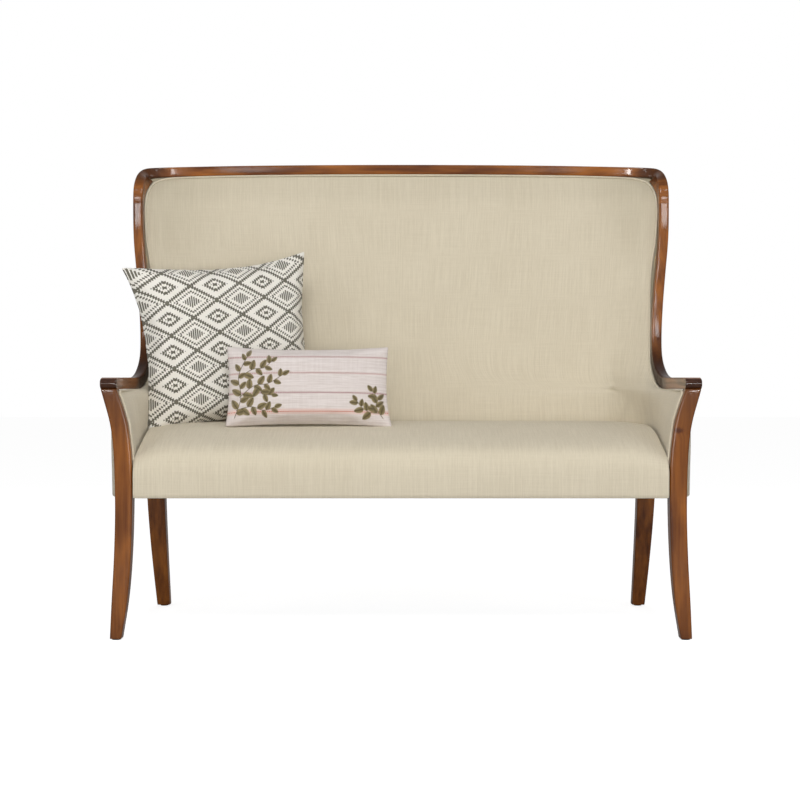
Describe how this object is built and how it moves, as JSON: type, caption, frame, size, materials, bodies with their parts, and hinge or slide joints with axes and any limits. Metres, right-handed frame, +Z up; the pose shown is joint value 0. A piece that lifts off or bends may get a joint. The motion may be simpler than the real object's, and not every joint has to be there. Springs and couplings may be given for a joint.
{
  "type": "high back settee",
  "caption": "High back settee with show wood arms, wings and crest, upholstered seat and back, and loose cushions",
  "frame": {"origin": "centre of the bounding box on the floor, under the seat", "axes": "+Z up, +X to the right seen from the front, the sitter faces -Y"},
  "size_m": [1.511, 0.69, 1.27],
  "materials": {
    "show_wood": "hand rubbed gloss",
    "linen": "plain linen weave",
    "frame_wood": "sawn, unfinished",
    "glide_felt": "pressed felt",
    "spring_steel": "drawn wire",
    "webbing_jute": "woven jute",
    "seat_foam": "open cell foam and wadding",
    "cambric": "thin black cloth",
    "printed_cotton": "block printed cotton",
    "striped_linen": "linen with stitched stripes and embroidery"
  },
  "bodies": {
    "settee": {"arm_rail_right": "show_wood", "arm_rail_left": "show_wood", "wing_rail_right": "show_wood", "wing_rail_left": "show_wood", "crest_rail": "show_wood", "front_leg_right": "show_wood", "front_leg_left": "show_wood", "rear_leg_right": "show_wood", "rear_leg_left": "show_wood", "side_pad_right": "linen", "side_pad_left": "linen", "inside_back_pad": "linen", "outside_arm_cover_right": "linen", "outside_arm_cover_left": "linen", "outside_back_cover": "linen", "seat_cover": "linen", "front_seat_rail": "frame_wood", "rear_seat_rail": "frame_wood", "side_seat_rail_right": "frame_wood", "side_seat_rail_left": "frame_wood", "seat_cross_rail_right": "frame_wood", "seat_cross_rail_left": "frame_wood", "front_block_right": "frame_wood", "front_block_left": "frame_wood", "rear_block_right": "frame_wood", "rear_block_left": "frame_wood", "lower_back_rail": "frame_wood", "upper_back_rail": "frame_wood", "centre_back_post": "frame_wood", "arm_tack_rail_right": "frame_wood", "arm_tack_rail_left": "frame_wood", "wing_post_right": "frame_wood", "wing_post_left": "frame_wood", "front_glide_right": "glide_felt", "front_glide_left": "glide_felt", "rear_glide_right": "glide_felt", "rear_glide_left": "glide_felt", "seat_spring_1": "spring_steel", "seat_spring_2": "spring_steel", "seat_spring_3": "spring_steel", "seat_spring_4": "spring_steel", "seat_spring_5": "spring_steel", "seat_spring_6": "spring_steel", "seat_spring_7": "spring_steel", "front_block_screw_right": "spring_steel", "front_block_screw_left": "spring_steel", "rear_block_screw_right": "spring_steel", "rear_block_screw_left": "spring_steel", "back_webbing_1": "webbing_jute", "back_webbing_2": "webbing_jute", "back_webbing_3": "webbing_jute", "back_webbing_4": "webbing_jute", "seat_insulator": "webbing_jute", "seat_foam": "seat_foam", "dust_cover": "cambric"},
    "large_cushion_body": {"large_cushion": "printed_cotton"},
    "small_cushion_body": {"small_cushion": "striped_linen"}
  },
  "joints": [
    {"name": "large_cushion_lift", "type": "slide", "parent": "settee", "child": "large_cushion_body", "axis": [0, 0, 1], "range_m": [0, 0.3]},
    {"name": "small_cushion_lift", "type": "slide", "parent": "settee", "child": "small_cushion_body", "axis": [0, -0.4472, 0.8944], "range_m": [0, 0.3]}
  ]
}
